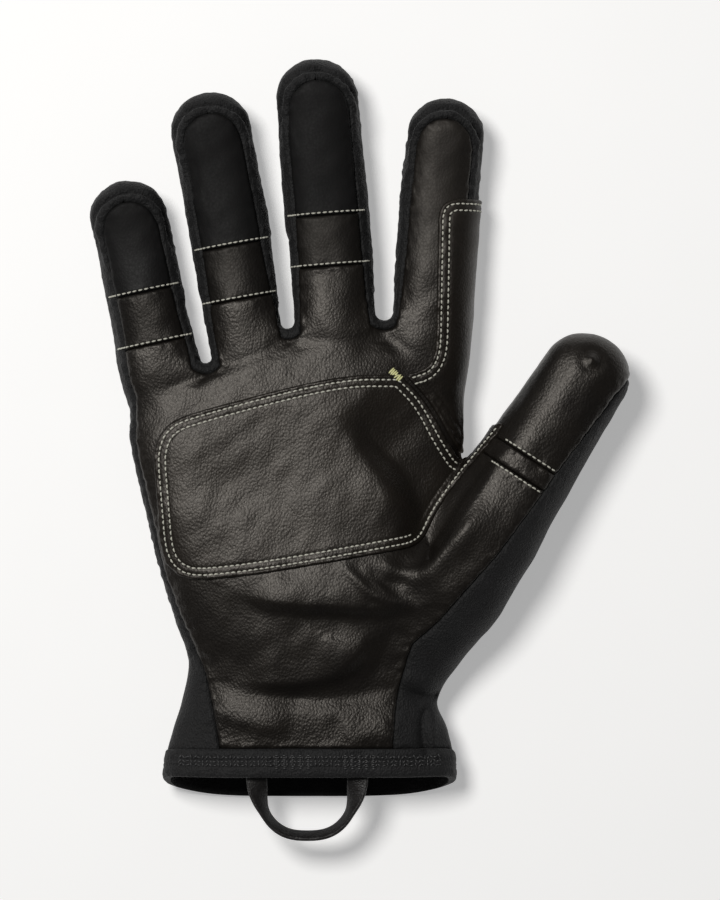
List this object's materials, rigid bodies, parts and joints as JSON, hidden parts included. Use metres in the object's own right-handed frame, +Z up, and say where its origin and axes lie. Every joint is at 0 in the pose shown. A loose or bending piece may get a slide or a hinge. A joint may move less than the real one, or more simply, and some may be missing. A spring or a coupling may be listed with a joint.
{
  "type": "climbing glove",
  "caption": "Full-finger leather climbing and belay glove for the right hand, lying on its back: reinforced palm, stretch cloth back and a webbing pull loop at the cuff.",
  "frame": {"origin": "on the surface the glove lies on, under the middle of its bounding box", "axes": "+Y from the cuff to the fingertips, +Z up out of the palm, +X towards the thumb"},
  "size_m": [0.1792, 0.2604, 0.0353],
  "materials": {
    "palm_leather": "soft black goatskin, fine grain, satin",
    "patch_leather": "black goatskin reinforcement, fine grain, satin",
    "stretch_cloth": "matte black stretch cloth",
    "webbing": "black woven webbing, slightly glossy"
  },
  "bodies": {
    "root": {"palm_leather": "palm_leather", "little_mid_pad": "palm_leather", "little_tip_pad": "palm_leather", "ring_mid_pad": "palm_leather", "ring_tip_pad": "palm_leather", "middle_mid_pad": "palm_leather", "middle_tip_pad": "palm_leather", "thumb_band": "palm_leather", "thumb_tip": "palm_leather", "palm_patch": "patch_leather", "index_patch": "patch_leather", "back_panel": "stretch_cloth", "little_side": "stretch_cloth", "little_ring_side": "stretch_cloth", "ring_middle_side": "stretch_cloth", "middle_index_side": "stretch_cloth", "index_side": "stretch_cloth", "thumb_gore": "stretch_cloth", "cuff_hem": "stretch_cloth", "pull_loop": "webbing"}
  },
  "joints": []
}
